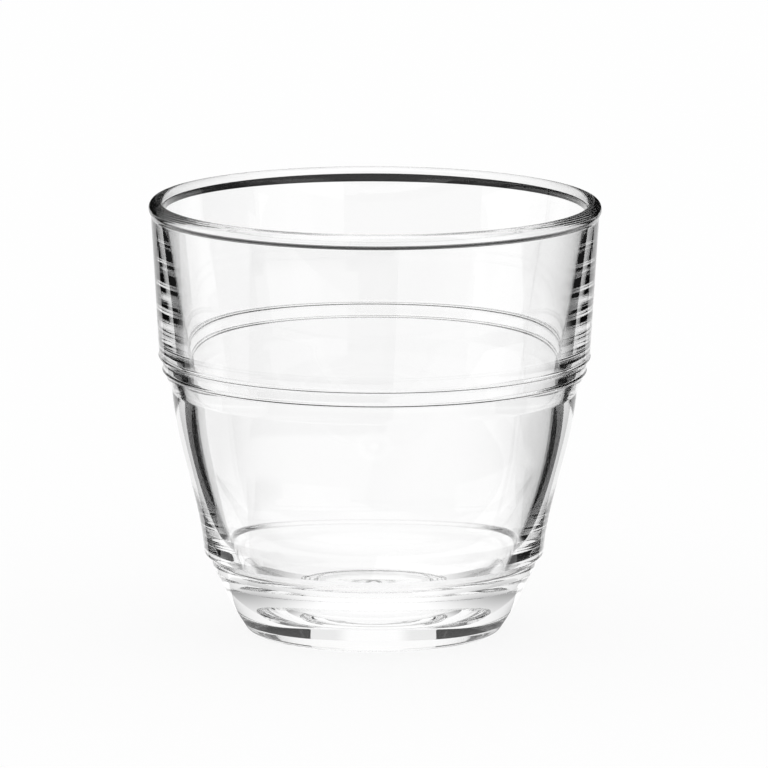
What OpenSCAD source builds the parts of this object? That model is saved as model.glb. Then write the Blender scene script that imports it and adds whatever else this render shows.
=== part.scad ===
// Stackable cortado tumbler, one piece of clear moulded glass.
// Millimetres, +Z up, origin at the middle of the foot on the table.
// Each width hangs on the rim by a named step inwards, so a wider rim makes a wider glass.

/* [Rim] */
// Outer diameter across the rim bead
rim_d = 75; // [62:0.5:88]
// Height from the table to the top of the rim
height = 72.2; // [60:0.2:86]
// Radius of the fully rounded rim bead
bead_r = 1.3; // [1:0.05:1.7]
// How far the bead stands out from the wall below it
bead_out = 0.4; // [0.1:0.05:0.7]

/* [Upper wall] */
// How far the upper wall runs in from the bead to the shoulder
upper_in = 1.4; // [0.6:0.05:2.4]

/* [Stacking shoulder] */
// Height of the shoulder's upper crease above the table
shoulder_z = 46.3; // [38:0.1:54]
// How far the shoulder band sits in from the upper wall
band_in = 0.5; // [0.15:0.05:0.7]
// Height of the small step from the upper crease to the band
band_step_h = 0.6; // [0.4:0.1:1.2]
// Height of the shoulder band
band_h = 1.75; // [1.2:0.05:3]
// Draft of the shoulder band, narrowing downwards
band_draft = 0.15; // [0.05:0.05:0.4]
// Width of the ledge that sits on the rim of the glass below in a stack
ledge_w = 1.45; // [1.1:0.05:2]
// Height of that sloping ledge
ledge_h = 3.35; // [2:0.05:4]
// Radius in the hollow under the ledge
ledge_hollow_r = 3; // [1:0.5:4]

/* [Lower wall] */
// How far the lower wall runs in from the ledge to the foot ring
lower_in = 5.4; // [4:0.1:7]
// Lean of the lower wall at both of its ends, in millimetres of width per millimetre of height
lower_lean = 0.08; // [0:0.01:0.15]
// Length over which the lower wall keeps that lean before it swings in
lower_handle = 9.3; // [5:0.1:11]

/* [Foot ring] */
// Height of the foot ring's upper crease above the table
ring_z = 13.2; // [10.5:0.1:15]
// How far the ring's band sits in from the upper crease
ring_in = 1.2; // [0.9:0.1:1.6]
// Height of the step from the upper crease to the ring's band
ring_step_h = 1; // [0.7:0.05:1.4]
// Height of the ring's band
ring_band_h = 1.6; // [1.1:0.05:2]
// Draft of the ring's band, narrowing downwards
ring_draft = 0.25; // [0.05:0.05:0.4]
// Width of the small ledge under the ring's band
ring_ledge_w = 1.15; // [0.8:0.05:1.5]
// Height of the small ledge under the ring's band
ring_ledge_h = 1.85; // [1.2:0.05:2.4]
// Radius in the hollow under the ring
ring_hollow_r = 1; // [0.4:0.1:1.5]
// Radius that softens every moulded crease
crease_r = 0.25; // [0.1:0.05:0.4]

/* [Foot] */
// How far the heel runs in from the ring to the table
heel_in = 4.8; // [3.4:0.1:6]
// How far the heel swells out at its middle
heel_bulge = 0.35; // [0.1:0.05:0.7]
// Radius of that swelling
heel_bulge_r = 40; // [15:5:80]
// Radius that rounds the heel into the bearing ring
heel_r = 1.9; // [1:0.1:2.4]
// Width from the heel's corner to the hollow under the base
bearing_w = 4.8; // [3.6:0.1:6]
// Depth of the hollow under the base at its middle
hollow_h = 1.6; // [0.8:0.1:2.4]
// Radius at the edge of the hollow
hollow_edge_r = 0.6; // [0.2:0.1:1]

/* [Inside] */
// Lean of the inside just below the bead, in millimetres of width per millimetre of height
mouth_lean = 0.09; // [0.04:0.01:0.2]
// Length over which the inside keeps its lean at both ends of the mouth
mouth_handle = 10; // [4:0.5:14]
// How far below the foot of the ledge the mouth turns into the bowl
bowl_drop = 0.6; // [0:0.1:3]
// Thickness of the wall at that height, measured in from the foot of the ledge
bowl_wall = 2.95; // [2:0.05:3.6]
// Lean of the inside at that height
bowl_lean = 0.155; // [0.1:0.005:0.2]
// Length over which the bowl's wall keeps its lean at both of its ends
bowl_handle = 9; // [5:0.5:12]
// Height above the table at which the bowl's wall turns into its floor
corner_z = 12.2; // [10.4:0.1:14]
// Thickness of the wall at that height, measured in from the foot ring's upper crease
corner_wall = 4.2; // [3.4:0.1:5]
// Lean of the bowl's wall there, in millimetres of width per millimetre of height
corner_lean = 0.28; // [0.2:0.01:0.36]
// Length of the corner curve's handle along the wall
corner_handle = 3; // [1.5:0.1:4.5]
// Length of the corner curve's handle along the floor
floor_handle = 6; // [3:0.5:9]
// Height of the floor's flat middle above the table
floor_z = 5.2; // [4:0.1:7]
// How far the flat middle of the floor ends inside the heel's corner
floor_in = 11.8; // [9:0.1:13]

/* [Hidden] */
$fn = 180;
// Points along a rounded corner, the bead, a long curve and the hollow under the base
corner_steps = 8;
bead_steps = 32;
curve_steps = 24;
hollow_steps = 16;

// The bead, and the angle on it at which the outer wall meets it in a crease
rim_r = rim_d / 2;
bead_centre = [rim_r - bead_r, height - bead_r];
bead_start = -acos((bead_r - bead_out) / bead_r);

// The shoulder, from its upper crease down to the foot of its ledge
upper_low_r = rim_r - bead_out - upper_in;
band_top_r = upper_low_r - band_in;
band_top_z = shoulder_z - band_step_h;
band_low_r = band_top_r - band_draft;
band_low_z = band_top_z - band_h;
ledge_low_r = band_low_r - ledge_w;
ledge_low_z = band_low_z - ledge_h;

// The foot ring, from its upper crease down to the top of the heel
ring_r = ledge_low_r - lower_in;
ring_band_top_r = ring_r - ring_in;
ring_band_top_z = ring_z - ring_step_h;
ring_band_low_r = ring_band_top_r - ring_draft;
ring_band_low_z = ring_band_top_z - ring_band_h;
heel_top_r = ring_band_low_r - ring_ledge_w;
heel_top_z = ring_band_low_z - ring_ledge_h;

// The foot, with the swelling of its heel, and the sphere of the hollow under it
base_r = heel_top_r - heel_in;
heel_along = unit([heel_top_r - base_r, heel_top_z]);
heel_mid = [base_r + heel_top_r, heel_top_z] / 2 + heel_bulge * [heel_along[1], -heel_along[0]];
hollow_r = base_r - bearing_w;
hollow_sphere_r = (pow(hollow_r, 2) + pow(hollow_h, 2)) / (2 * hollow_h);

// The inside: the mouth from the bead down to the top of the bowl, the bowl's corner and its flat floor
bead_end = 180 - atan(mouth_lean);
mouth_top = bead_centre + bead_r * [cos(bead_end), sin(bead_end)];
mouth_down = -unit([mouth_lean, 1]);
bowl_top = [ledge_low_r - bowl_wall, ledge_low_z - bowl_drop];
bowl_down = -unit([bowl_lean, 1]);
bowl_corner = [ring_r - corner_wall, corner_z];
corner_down = -unit([corner_lean, 1]);
floor_edge = [base_r - floor_in, floor_z];

function unit(v) = v / norm(v);

// Points that round the corner b between a and c, with a radius that its two sides have room for
function rounded_corner(a, b, c, r) =
    let (
        to_a = unit(a - b),
        to_c = unit(c - b),
        half_angle = acos(to_a * to_c) / 2,
        room = min(norm(a - b), norm(c - b)) / 2,
        reach = min(r / tan(half_angle), room),
        arc_r = reach * tan(half_angle),
        centre = b + unit(to_a + to_c) * arc_r / sin(half_angle),
        from = b + to_a * reach - centre,
        sweep = 180 - 2 * half_angle,
        turn = sign(cross(to_c, to_a)) * sweep
    )
    [
        for (i = [0 : corner_steps])
            let (angle = turn * i / corner_steps)
                centre + [
                    from[0] * cos(angle) - from[1] * sin(angle),
                    from[0] * sin(angle) + from[1] * cos(angle)
                ]
    ];

// A path of [radius, height, corner radius] with its corners rounded, where the first and last stay sharp
function rounded_path(path) = [
    for (i = [0 : len(path) - 1])
        let (
            here = [path[i][0], path[i][1]],
            corner_r = path[i][2]
        )
        each i == 0 || i == len(path) - 1 || corner_r == 0
            ? [here]
            : rounded_corner(
                [path[i - 1][0], path[i - 1][1]],
                here,
                [path[i + 1][0], path[i + 1][1]],
                corner_r
            )
];

// Sharp path points along the cubic curve from a to d, without a
function curve_points(a, b, c, d) = [
    for (i = [1 : curve_steps])
        let (
            t = i / curve_steps,
            s = 1 - t,
            p = pow(s, 3) * a + 3 * pow(s, 2) * t * b + 3 * s * pow(t, 2) * c + pow(t, 3) * d
        )
        [p[0], p[1], 0]
];

// The spherical hollow under the base, from its middle outwards
hollow_points = [
    for (i = [0 : hollow_steps - 1])
        let (r = hollow_r * i / hollow_steps)
            [r, hollow_h - hollow_sphere_r + sqrt(pow(hollow_sphere_r, 2) - pow(r, 2)), 0]
];

// The foot, from the edge of the hollow up to the ring's upper crease
foot_points = [
    [hollow_r, 0, hollow_edge_r],
    [base_r, 0, heel_r],
    [heel_mid[0], heel_mid[1], heel_bulge_r],
    [heel_top_r, heel_top_z, ring_hollow_r],
    [ring_band_low_r, ring_band_low_z, crease_r],
    [ring_band_top_r, ring_band_top_z, crease_r],
    [ring_r, ring_z, crease_r]
];

// The lower wall's gentle S, from the ring's upper crease to just below the foot of the ledge
lower_low = [ring_r, ring_z];
lower_high = [ledge_low_r, ledge_low_z];
lower_along = lower_handle * unit([lower_lean, 1]);
lower_curve = curve_points(lower_low, lower_low + lower_along, lower_high - lower_along, lower_high);
lower_points = [for (i = [0 : curve_steps - 2]) lower_curve[i]];

// The shoulder, from the foot of its ledge up to its upper crease
shoulder_points = [
    [ledge_low_r, ledge_low_z, ledge_hollow_r],
    [band_low_r, band_low_z, crease_r],
    [band_top_r, band_top_z, crease_r],
    [upper_low_r, shoulder_z, crease_r]
];

// The bead, from its crease over the top to the inside of the mouth
bead_points = [
    for (i = [0 : bead_steps])
        let (angle = bead_start + (bead_end - bead_start) * i / bead_steps)
            [bead_centre[0] + bead_r * cos(angle), bead_centre[1] + bead_r * sin(angle), 0]
];

// The inside, from the bead down the mouth and the bowl's wall, round its corner to the middle of the floor
inside_points = concat(
    curve_points(
        mouth_top,
        mouth_top + mouth_handle * mouth_down,
        bowl_top - mouth_handle * bowl_down,
        bowl_top
    ),
    curve_points(
        bowl_top,
        bowl_top + bowl_handle * bowl_down,
        bowl_corner - bowl_handle * corner_down,
        bowl_corner
    ),
    curve_points(
        bowl_corner,
        bowl_corner + corner_handle * corner_down,
        floor_edge + [floor_handle, 0],
        floor_edge
    ),
    [[0, floor_z, 0]]
);

module tumbler() {
    color("azure", 0.35)
        rotate_extrude()
            polygon(rounded_path(concat(
                hollow_points,
                foot_points,
                lower_points,
                shoulder_points,
                bead_points,
                inside_points
            )));
}

tumbler();
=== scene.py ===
import math

import bmesh
import bpy
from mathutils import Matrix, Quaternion, Vector


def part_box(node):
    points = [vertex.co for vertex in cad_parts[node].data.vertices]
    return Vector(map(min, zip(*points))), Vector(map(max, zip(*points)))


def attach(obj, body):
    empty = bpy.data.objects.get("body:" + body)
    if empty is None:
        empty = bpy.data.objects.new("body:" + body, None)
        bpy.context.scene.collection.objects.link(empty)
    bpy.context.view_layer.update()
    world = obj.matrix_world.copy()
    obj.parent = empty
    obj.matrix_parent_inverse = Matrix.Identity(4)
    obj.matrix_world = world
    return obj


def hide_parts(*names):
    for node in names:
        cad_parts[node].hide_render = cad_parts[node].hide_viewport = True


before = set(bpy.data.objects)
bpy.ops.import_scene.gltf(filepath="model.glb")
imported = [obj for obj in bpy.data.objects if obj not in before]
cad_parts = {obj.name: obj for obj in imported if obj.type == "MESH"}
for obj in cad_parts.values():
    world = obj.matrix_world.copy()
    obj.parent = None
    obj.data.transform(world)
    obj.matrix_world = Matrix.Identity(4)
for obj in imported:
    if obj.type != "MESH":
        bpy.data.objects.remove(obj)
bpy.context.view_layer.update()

MM = 0.001

# Sizes in millimetres, as in the part's source: each width hangs on the rim by a step inwards
low_corner, high_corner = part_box("tumbler")
RIM_R = (high_corner[0] - low_corner[0]) / 2 / MM
HEIGHT = (high_corner[2] - low_corner[2]) / MM
BEAD_R = 1.3
BEAD_OUT = 0.4
UPPER_IN = 1.4
SHOULDER_Z = 46.3
BAND_IN = 0.5
BAND_STEP_H = 0.6
BAND_H = 1.75
BAND_DRAFT = 0.15
LEDGE_W = 1.45
LEDGE_H = 3.35
LEDGE_HOLLOW_R = 3.0
LOWER_IN = 5.4
LOWER_LEAN = 0.08
LOWER_HANDLE = 9.3
RING_Z = 13.2
RING_IN = 1.2
RING_STEP_H = 1.0
RING_BAND_H = 1.6
RING_DRAFT = 0.25
RING_LEDGE_W = 1.15
RING_LEDGE_H = 1.85
RING_HOLLOW_R = 1.0
CREASE_R = 0.25
HEEL_IN = 4.8
HEEL_BULGE = 0.35
HEEL_BULGE_R = 40.0
HEEL_R = 1.9
BEARING_W = 4.8
HOLLOW_H = 1.6
HOLLOW_EDGE_R = 0.6
MOUTH_LEAN = 0.09
MOUTH_HANDLE = 10.0
BOWL_DROP = 0.6
BOWL_WALL = 2.95
BOWL_LEAN = 0.155
BOWL_HANDLE = 9.0
CORNER_Z = 12.2
CORNER_WALL = 4.2
CORNER_LEAN = 0.28
CORNER_HANDLE = 3.0
FLOOR_HANDLE = 6.0
FLOOR_Z = 5.2
FLOOR_IN = 11.8

# Fine detail of the glass: the ridge that the mould leaves on a crease
RIDGE_R = 0.15

# The glass, and the ground ring that it stands on: the heights at which the ring turns to polished glass,
# before the stipple lowers them by up to the ragged height, and the least share of its roughness in a patch
GLASS_IOR = 1.52
GROUND_Z = (0.75, 0.8)
RAGGED_H = 0.8
GROUND_ROUGHNESS = 0.5
STIPPLE_SIZE = 1.5
STIPPLE_DETAIL = 3
PATCH_STIPPLE = (0.35, 0.65)
PATCH_LEAST = 0.3

# How finely the glass is turned
SEGMENTS = 640
ROW_STEP = 0.5
CORNER_STEPS = 8
CURVE_STEPS = 32


def arc(centre, start, turn, steps):
    """Points on the arc that carries the vector start round the centre through the angle turn."""
    points = []
    for i in range(steps + 1):
        angle = turn * i / steps
        cos, sin = math.cos(angle), math.sin(angle)
        points.append(centre + Vector((start.x * cos - start.y * sin, start.x * sin + start.y * cos)))
    return points


def rounded_corner(a, b, c, r):
    """Points that round the corner b between a and c."""
    to_a = (a - b).normalized()
    to_c = (c - b).normalized()
    half_angle = to_a.angle(to_c) / 2
    room = min((a - b).length, (c - b).length) / 2
    reach = min(r / math.tan(half_angle), room)
    arc_r = reach * math.tan(half_angle)
    centre = b + (to_a + to_c).normalized() * arc_r / math.sin(half_angle)
    side = to_c.x * to_a.y - to_c.y * to_a.x
    turn = math.copysign(math.pi - 2 * half_angle, side)
    return arc(centre, b + to_a * reach - centre, turn, CORNER_STEPS)


def ridge(a, b, c):
    """A fine round ridge on the outer side of the crease b between a and c."""
    to_a = (a - b).normalized()
    to_c = (c - b).normalized()
    turn = math.atan2(to_a.x * to_c.y - to_a.y * to_c.x, to_a.dot(to_c)) % (2 * math.pi)
    return arc(b, to_a * RIDGE_R, turn, CORNER_STEPS)


def shaped_path(path):
    """A path of (radius, height, corner) whose corners are rounded, ridged or, at 0, left sharp."""
    flat = [Vector((x, y)) for x, y, _ in path]
    points = []
    for i, (_, _, corner) in enumerate(path):
        if corner == 0 or i in (0, len(path) - 1):
            points.append(flat[i])
        elif corner == "ridge":
            points += ridge(flat[i - 1], flat[i], flat[i + 1])
        else:
            points += rounded_corner(flat[i - 1], flat[i], flat[i + 1], corner)
    return points


def bezier_path(a, b, c, d):
    """Points along a cubic curve."""
    path = []
    steps = math.ceil((d - a).length / ROW_STEP)
    for i in range(steps + 1):
        t = i / steps
        s = 1 - t
        p = s**3 * a + 3 * s * s * t * b + 3 * s * t * t * c + t**3 * d
        path.append((p.x, p.y, 0))
    return path


def glass_outline():
    """The outline from the middle of the underside over the rim to the middle of the floor inside."""
    upper_low = (RIM_R - BEAD_OUT - UPPER_IN, SHOULDER_Z)
    band_top = (upper_low[0] - BAND_IN, upper_low[1] - BAND_STEP_H)
    band_low = (band_top[0] - BAND_DRAFT, band_top[1] - BAND_H)
    ledge_low = Vector((band_low[0] - LEDGE_W, band_low[1] - LEDGE_H))
    ring_top = Vector((ledge_low.x - LOWER_IN, RING_Z))
    ring_band_top = (ring_top.x - RING_IN, ring_top.y - RING_STEP_H)
    ring_band_low = (ring_band_top[0] - RING_DRAFT, ring_band_top[1] - RING_BAND_H)
    heel_top = Vector((ring_band_low[0] - RING_LEDGE_W, ring_band_low[1] - RING_LEDGE_H))
    base_r = heel_top.x - HEEL_IN
    heel_along = Vector((HEEL_IN, heel_top.y)).normalized()
    heel_mid = (Vector((base_r, 0)) + heel_top) / 2 + HEEL_BULGE * Vector((heel_along.y, -heel_along.x))

    hollow_r = base_r - BEARING_W
    sphere_r = (hollow_r**2 + HOLLOW_H**2) / (2 * HOLLOW_H)
    path = []
    for i in range(CURVE_STEPS):
        r = hollow_r * i / CURVE_STEPS
        path.append((r, HOLLOW_H - sphere_r + math.sqrt(sphere_r**2 - r * r), 0))
    path += [
        (hollow_r, 0, HOLLOW_EDGE_R),
        (base_r, 0, HEEL_R),
        (*heel_mid, HEEL_BULGE_R),
        (*heel_top, RING_HOLLOW_R),
        (*ring_band_low, CREASE_R),
        (*ring_band_top, CREASE_R),
        (*ring_top, CREASE_R),
    ]
    lean = Vector((LOWER_LEAN, 1)).normalized() * LOWER_HANDLE
    path += bezier_path(ring_top, ring_top + lean, ledge_low - lean, ledge_low)[1:-1]
    path += [
        (*ledge_low, LEDGE_HOLLOW_R),
        (*band_low, "ridge"),
        (*band_top, CREASE_R),
        (*upper_low, "ridge"),
    ]

    bead_centre = Vector((RIM_R - BEAD_R, HEIGHT - BEAD_R))
    start = -math.acos((BEAD_R - BEAD_OUT) / BEAD_R)
    end = math.pi - math.atan(MOUTH_LEAN)
    crease = Vector((math.cos(start), math.sin(start))) * BEAD_R
    bead = arc(bead_centre, crease, end - start, CURVE_STEPS)
    path += [(*p, 0) for p in bead]

    mouth_top = bead[-1]
    bowl_top = Vector((ledge_low.x - BOWL_WALL, ledge_low.y - BOWL_DROP))
    bowl_corner = Vector((ring_top.x - CORNER_WALL, CORNER_Z))
    floor_edge = Vector((base_r - FLOOR_IN, FLOOR_Z))
    mouth_down = -Vector((MOUTH_LEAN, 1)).normalized()
    bowl_down = -Vector((BOWL_LEAN, 1)).normalized()
    corner_down = -Vector((CORNER_LEAN, 1)).normalized()
    below_mouth = mouth_top + mouth_down * MOUTH_HANDLE
    above_bowl = bowl_top - bowl_down * MOUTH_HANDLE
    path += bezier_path(mouth_top, below_mouth, above_bowl, bowl_top)[1:]
    below_top = bowl_top + bowl_down * BOWL_HANDLE
    above_corner = bowl_corner - corner_down * BOWL_HANDLE
    path += bezier_path(bowl_top, below_top, above_corner, bowl_corner)[1:]
    below_corner = bowl_corner + corner_down * CORNER_HANDLE
    beside_floor = floor_edge + Vector((FLOOR_HANDLE, 0))
    path += bezier_path(bowl_corner, below_corner, beside_floor, floor_edge)[1:]
    path.append((0, FLOOR_Z, 0))
    return shaped_path(path)


def even_rows(points, step):
    """The outline with its long stretches cut into rows no longer than step."""
    rows = [points[0]]
    for a, b in zip(points, points[1:]):
        cuts = max(1, math.ceil((b - a).length / step))
        rows += [a.lerp(b, i / cuts) for i in range(1, cuts + 1)]
    return rows


def finished_mesh(name, bm):
    mesh = bpy.data.meshes.new(name)
    bm.to_mesh(mesh)
    bm.free()
    return mesh


def turned_mesh(name, rows):
    """A closed body of revolution whose first and last row lie on the axis."""
    bm = bmesh.new()
    rings = []
    for row in rows[1:-1]:
        ring = []
        for j in range(SEGMENTS):
            angle = 2 * math.pi * j / SEGMENTS
            x = row.x * math.cos(angle) * MM
            y = row.x * math.sin(angle) * MM
            ring.append(bm.verts.new((x, y, row.y * MM)))
        rings.append(ring)
    bottom = bm.verts.new((0, 0, rows[0].y * MM))
    top = bm.verts.new((0, 0, rows[-1].y * MM))
    for j in range(SEGMENTS):
        k = (j + 1) % SEGMENTS
        bm.faces.new((bottom, rings[0][k], rings[0][j]))
        bm.faces.new((top, rings[-1][j], rings[-1][k]))
        for low, high in zip(rings, rings[1:]):
            bm.faces.new((low[j], low[k], high[k], high[j]))
    mesh = finished_mesh(name, bm)
    mesh.shade_smooth()
    return mesh


def new_material(name):
    """A material and its node tree."""
    material = bpy.data.materials.new(name)
    material.use_nodes = True
    return material, material.node_tree


def plug(tree, value, place):
    """Links a socket to an input, or gives the input a plain number."""
    if isinstance(value, bpy.types.NodeSocket):
        tree.links.new(value, place)
    else:
        place.default_value = value


def coordinate(tree, kind):
    return tree.nodes.new("ShaderNodeTexCoord").outputs[kind]


def axis_values(tree, vector):
    """The X, Y and Z of a vector."""
    node = tree.nodes.new("ShaderNodeSeparateXYZ")
    tree.links.new(vector, node.inputs["Vector"])
    return node.outputs


def calculate(tree, operation, *values):
    """A maths node over sockets or plain numbers."""
    node = tree.nodes.new("ShaderNodeMath")
    node.operation = operation
    for value, place in zip(values, node.inputs):
        plug(tree, value, place)
    return node.outputs["Value"]


def map_range(tree, value, from_range, to_range):
    """A soft step from one level to another while the value crosses a range."""
    node = tree.nodes.new("ShaderNodeMapRange")
    node.interpolation_type = "SMOOTHSTEP"
    tree.links.new(value, node.inputs["Value"])
    node.inputs["From Min"].default_value, node.inputs["From Max"].default_value = from_range
    node.inputs["To Min"].default_value, node.inputs["To Max"].default_value = to_range
    return node.outputs["Result"]


def emission(tree, strength):
    node = tree.nodes.new("ShaderNodeEmission")
    plug(tree, strength, node.inputs["Strength"])
    return node.outputs["Emission"]


def mix_shader(tree, share, first, second):
    """Two shaders, mixed with the given share of the second."""
    node = tree.nodes.new("ShaderNodeMixShader")
    for value, place in zip((share, first, second), node.inputs):
        plug(tree, value, place)
    return node.outputs["Shader"]


def glass_material():
    """Clear glass, ground rough in patches where it stands."""
    material, tree = new_material("clear_glass")
    shader = tree.nodes["Principled BSDF"]
    shader.inputs["Base Color"].default_value = (1, 1, 1, 1)
    shader.inputs["IOR"].default_value = GLASS_IOR
    shader.inputs["Transmission Weight"].default_value = 1.0
    place = coordinate(tree, "Object")
    noise = tree.nodes.new("ShaderNodeTexNoise")
    noise.inputs["Scale"].default_value = 1 / (STIPPLE_SIZE * MM)
    noise.inputs["Detail"].default_value = STIPPLE_DETAIL
    tree.links.new(place, noise.inputs["Vector"])
    stipple = noise.outputs["Fac"]
    ragged = calculate(tree, "MULTIPLY_ADD", stipple, RAGGED_H * MM, axis_values(tree, place)["Z"])
    ground = map_range(tree, ragged, [z * MM for z in GROUND_Z], (GROUND_ROUGHNESS, 0))
    patches = map_range(tree, stipple, PATCH_STIPPLE, (PATCH_LEAST, 1))
    tree.links.new(calculate(tree, "MULTIPLY", ground, patches), shader.inputs["Roughness"])
    return material


# The glass, in place of the CAD's tumbler
glass_rows = even_rows(glass_outline(), ROW_STEP)
glass = bpy.data.objects.new("tumbler_glass", turned_mesh("tumbler_glass", glass_rows))
bpy.context.scene.collection.objects.link(glass)
glass.data.materials.append(glass_material())
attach(glass, "root")
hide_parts("tumbler")

# Stage, in millimetres: a floor and a room that are white to the camera, and cards that only the glass sees
DARK = 0.012
WHITE = 1.02
ROUND_POINTS = 64
BOUNCES = 24

# The floor, the share of it that takes a shadow, and the elevations between which its painted reflection
# turns from white to dark for the glass, both of which are lower further out
FLOOR_R = 6000
FLOOR_COLOUR = 0.95
SHADOW = 0.13
STEEP = math.radians(33)
SHALLOW = math.radians(30)
SHALLOW_OUT = math.radians(23)
OUT = (70, 90)

# The room: how far forwards, or up, a direction points where the front or the overhead light sets in
FRONT_LEVEL = 0.38
FRONT_Y = (-0.6, 0)
OVERHEAD_Z = (0.8, 0.92)

# Cards whose sides spread from the glass: near and far distance, low and high edge, and half width at the
# glass, which is negative where the sides meet before they reach it; white cards are dimmer beside the glass
SPREAD = math.radians(28.7)
WHITE_BESIDE = 0.84
BESIDE = (30, 56)
LIFT = 0.3
FAR = 300
HANG = 60
BROW_LOW = 66
FLOOR_STRIP = (8, FAR, LIFT, LIFT, 27)
FRONT_STRIP = (42, FAR, LIFT, LIFT, 27)
SIDE_STRIP = (40, FAR, LIFT, LIFT, -16)
FAR_CARD = (FAR, FAR, LIFT, 130, -68)
SIDE_CARD = (FAR, FAR, LIFT, 70, -10)
HUNG_CARD = (HANG, HANG, 22, BROW_LOW, 34)
BLACK_BROW = (HANG, HANG, BROW_LOW, 160, 90)
# Bearings in degrees, from behind the glass round to the camera's right
WHITE_CARDS = (
    (0, FLOOR_STRIP), (0, HUNG_CARD), (0, FAR_CARD),
    (-90, SIDE_STRIP), (-90, SIDE_CARD),
    (135, FRONT_STRIP), (135, SIDE_CARD),
)

# The disc under the foot, which dims to both sides
DISC_R = 40
DISC_LIFT = 0.2
DISC_BESIDE = (8, 28)
DISC_DIM = 0.15


def stage_object(name, mesh):
    piece = bpy.data.objects.new(name, mesh)
    bpy.context.scene.collection.objects.link(piece)
    return piece


def floor_material():
    """White with a soft shadow to the camera.

    To the glass it gives off light set by the viewing angle, white where it is seen steeply and dark at
    shallow
    angles: a painted reflection of a dark room, which stands in for the gloss of a polished floor.
    """
    material, tree = new_material("floor")
    matt = tree.nodes["Principled BSDF"]
    matt.inputs["Base Color"].default_value = (FLOOR_COLOUR, FLOOR_COLOUR, FLOOR_COLOUR, 1)
    matt.inputs["Roughness"].default_value = 1.0
    matt.inputs["Specular IOR Level"].default_value = 0.0
    to_camera = mix_shader(tree, SHADOW, emission(tree, 1.0), matt.outputs["BSDF"])
    distance = tree.nodes.new("ShaderNodeVectorMath")
    distance.operation = "LENGTH"
    tree.links.new(coordinate(tree, "Object"), distance.inputs[0])
    lowering = (0, math.sin(SHALLOW) - math.sin(SHALLOW_OUT))
    further_out = map_range(tree, distance.outputs["Value"], [r * MM for r in OUT], lowering)
    # Painted reflection: for the glass the floor's light falls from white to dark as the ray turns shallow,
    # in place of a gloss that mirrors the dark room
    facing = tree.nodes.new("ShaderNodeLayerWeight").outputs["Facing"]
    shallow = calculate(tree, "SUBTRACT", facing, further_out)
    level = map_range(tree, shallow, (1 - math.sin(STEEP), 1 - math.sin(SHALLOW)), (WHITE, DARK))
    by_camera = tree.nodes.new("ShaderNodeLightPath").outputs["Is Camera Ray"]
    surface = mix_shader(tree, by_camera, emission(tree, level), to_camera)
    tree.links.new(surface, tree.nodes["Material Output"].inputs["Surface"])
    return material


def floor():
    bm = bmesh.new()
    bmesh.ops.create_circle(bm, cap_ends=True, radius=FLOOR_R * MM, segments=ROUND_POINTS)
    mesh = finished_mesh("floor", bm)
    mesh.materials.append(floor_material())
    stage_object("floor", mesh)


def shine(tree, strength):
    """Makes a material give off nothing but light of the given strength."""
    tree.links.new(emission(tree, strength), tree.nodes["Material Output"].inputs["Surface"])


def white_card(name, level_beside, reach):
    """White in the middle of a card, with another level to both sides of it."""
    material, tree = new_material(name)
    across = calculate(tree, "ABSOLUTE", axis_values(tree, coordinate(tree, "Object"))["X"])
    shine(tree, map_range(tree, across, [x * MM for x in reach], (WHITE, level_beside)))
    return material


def black_card():
    material, tree = new_material("black_card")
    shine(tree, DARK)
    return material


def flat_card(name, corners, material, bearing=0):
    """A card that only the glass sees."""
    bm = bmesh.new()
    bm.faces.new([bm.verts.new(Vector(corner) * MM) for corner in corners])
    mesh = finished_mesh(name, bm)
    mesh.materials.append(material)
    piece = stage_object(name, mesh)
    piece.rotation_euler.z = -math.radians(bearing)
    piece.visible_camera = False
    piece.visible_diffuse = False
    piece.visible_shadow = False


def sweep_card(bearing, near, far, low, high, half_w, material):
    """A card that widens with its distance from the glass."""
    near_w, far_w = (half_w + distance * math.tan(SPREAD) for distance in (near, far))
    corners = ((-near_w, near, low), (near_w, near, low), (far_w, far, high), (-far_w, far, high))
    flat_card("sweep", corners, material, bearing)


def cards():
    white = white_card("sweep_light", WHITE_BESIDE, BESIDE)
    for bearing, card in WHITE_CARDS:
        sweep_card(bearing, *card, white)
    sweep_card(0, *BLACK_BROW, black_card())
    turns = [2 * math.pi * i / ROUND_POINTS for i in range(ROUND_POINTS)]
    disc = [(DISC_R * math.cos(turn), DISC_R * math.sin(turn), DISC_LIFT) for turn in turns]
    flat_card("foot_disc", disc, white_card("foot_light", DISC_DIM, DISC_BESIDE))


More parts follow.
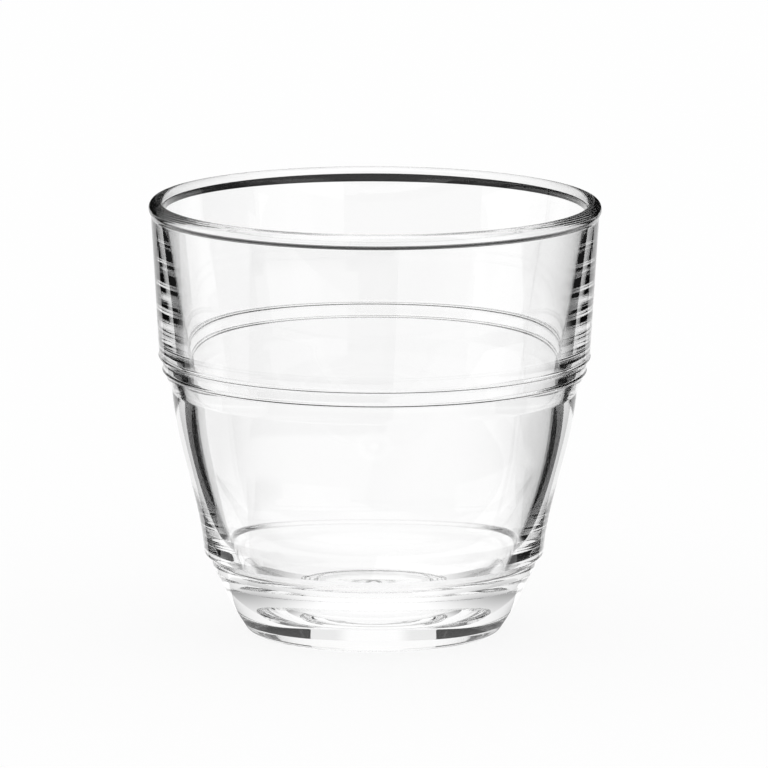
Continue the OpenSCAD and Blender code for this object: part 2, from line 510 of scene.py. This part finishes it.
def room():
    """White to the camera and the floor; to the glass, dark with soft light in front and white overhead."""
    world = bpy.data.worlds.new("studio")
    world.use_nodes = True
    bpy.context.scene.world = world
    tree = world.node_tree
    towards = axis_values(tree, coordinate(tree, "Generated"))
    front = map_range(tree, towards["Y"], FRONT_Y, (FRONT_LEVEL, DARK))
    overhead = map_range(tree, towards["Z"], OVERHEAD_Z, (0, 1))
    path = tree.nodes.new("ShaderNodeLightPath").outputs
    by_glass = calculate(tree, "MAXIMUM", path["Is Transmission Ray"], path["Is Glossy Ray"])
    level = tree.nodes.new("ShaderNodeMix")
    plug(tree, by_glass, level.inputs["Factor"])
    plug(tree, 1.0, level.inputs["A"])
    plug(tree, calculate(tree, "MAXIMUM", front, overhead), level.inputs["B"])
    background = tree.nodes["Background"]
    background.inputs["Color"].default_value = (1, 1, 1, 1)
    tree.links.new(level.outputs["Result"], background.inputs["Strength"])


floor()
cards()
room()
bpy.context.scene.cycles.max_bounces = BOUNCES
bpy.context.scene.cycles.glossy_bounces = BOUNCES
bpy.context.scene.cycles.transmission_bounces = BOUNCES

# Camera, at the photograph's angle and framing: distances in metres, its sensor in millimetres
PHOTO_SIZE = 768
RIM_PIXELS = 452
AXIS_PIXEL = 374.5
FOOT_PIXEL = 629
VIEW_ELEVATION = math.radians(10.1)
VIEW_ROLL = math.radians(0.22)
VIEW_DISTANCE = 1.6
VIEW_END = 20
SENSOR_W = 36
camera = bpy.data.cameras.new("camera")
view = bpy.data.objects.new("camera", camera)
bpy.context.scene.collection.objects.link(view)
pixel = 2 * RIM_R * MM / RIM_PIXELS
camera.sensor_width = SENSOR_W
camera.lens = SENSOR_W * VIEW_DISTANCE / (PHOTO_SIZE * pixel)
camera.clip_end = VIEW_END
aim_x = (PHOTO_SIZE / 2 - AXIS_PIXEL) * pixel
aim_z = (FOOT_PIXEL - PHOTO_SIZE / 2) * pixel / math.cos(VIEW_ELEVATION)
back = Vector((0, -math.cos(VIEW_ELEVATION), math.sin(VIEW_ELEVATION)))
view.location = Vector((aim_x, 0, aim_z)) + back * VIEW_DISTANCE
view.rotation_euler = ((-back).to_track_quat("-Z", "Y") @ Quaternion((0, 0, 1), VIEW_ROLL)).to_euler()
bpy.context.scene.camera = view

bpy.context.scene.view_settings.view_transform = "Standard"
